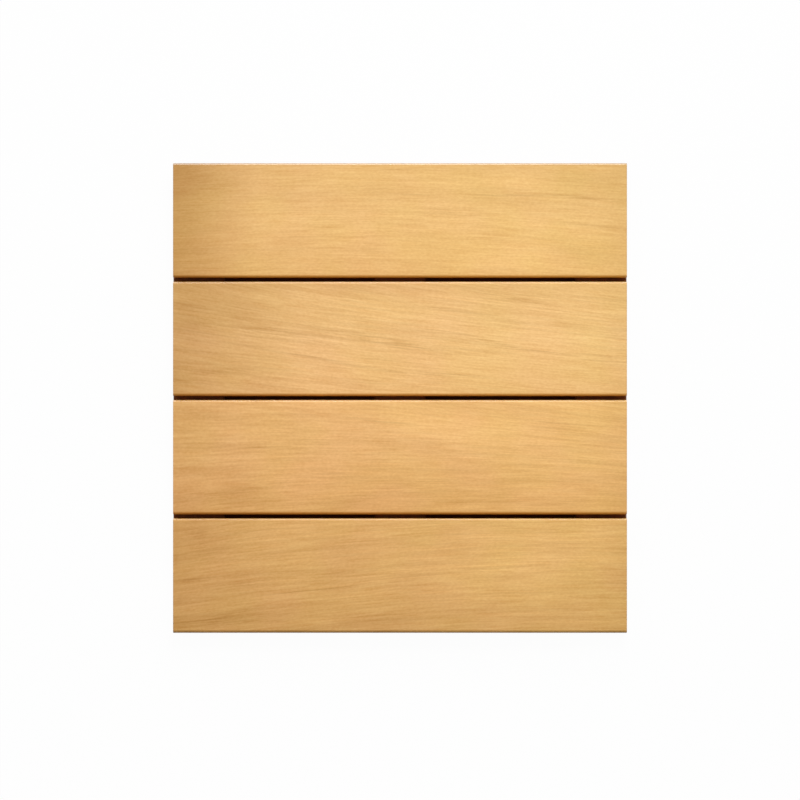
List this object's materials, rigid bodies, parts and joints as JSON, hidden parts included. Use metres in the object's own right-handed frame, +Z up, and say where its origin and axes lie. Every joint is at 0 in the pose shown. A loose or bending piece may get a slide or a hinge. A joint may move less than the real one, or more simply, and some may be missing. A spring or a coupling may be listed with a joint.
{
  "type": "hardwood decking board panel",
  "caption": "Square deck panel of eased-edge hardwood boards laid with drainage gaps across battens, screwed from below so that the top face is clear.",
  "frame": {"origin": "centre of the footprint, on the plane that the battens rest on", "axes": "+X along the boards, +Y across the boards, +Z up out of the walking face"},
  "size_m": [0.575, 0.595, 0.042],
  "materials": {
    "board_wood": "planed and oiled, satin",
    "batten_wood": "planed, bare",
    "screw_steel": "stainless, satin"
  },
  "bodies": {
    "root": {"board_1": "board_wood", "board_2": "board_wood", "board_3": "board_wood", "board_4": "board_wood", "left_batten": "batten_wood", "middle_batten": "batten_wood", "right_batten": "batten_wood", "left_batten_screws": "screw_steel", "middle_batten_screws": "screw_steel", "right_batten_screws": "screw_steel"}
  },
  "joints": []
}
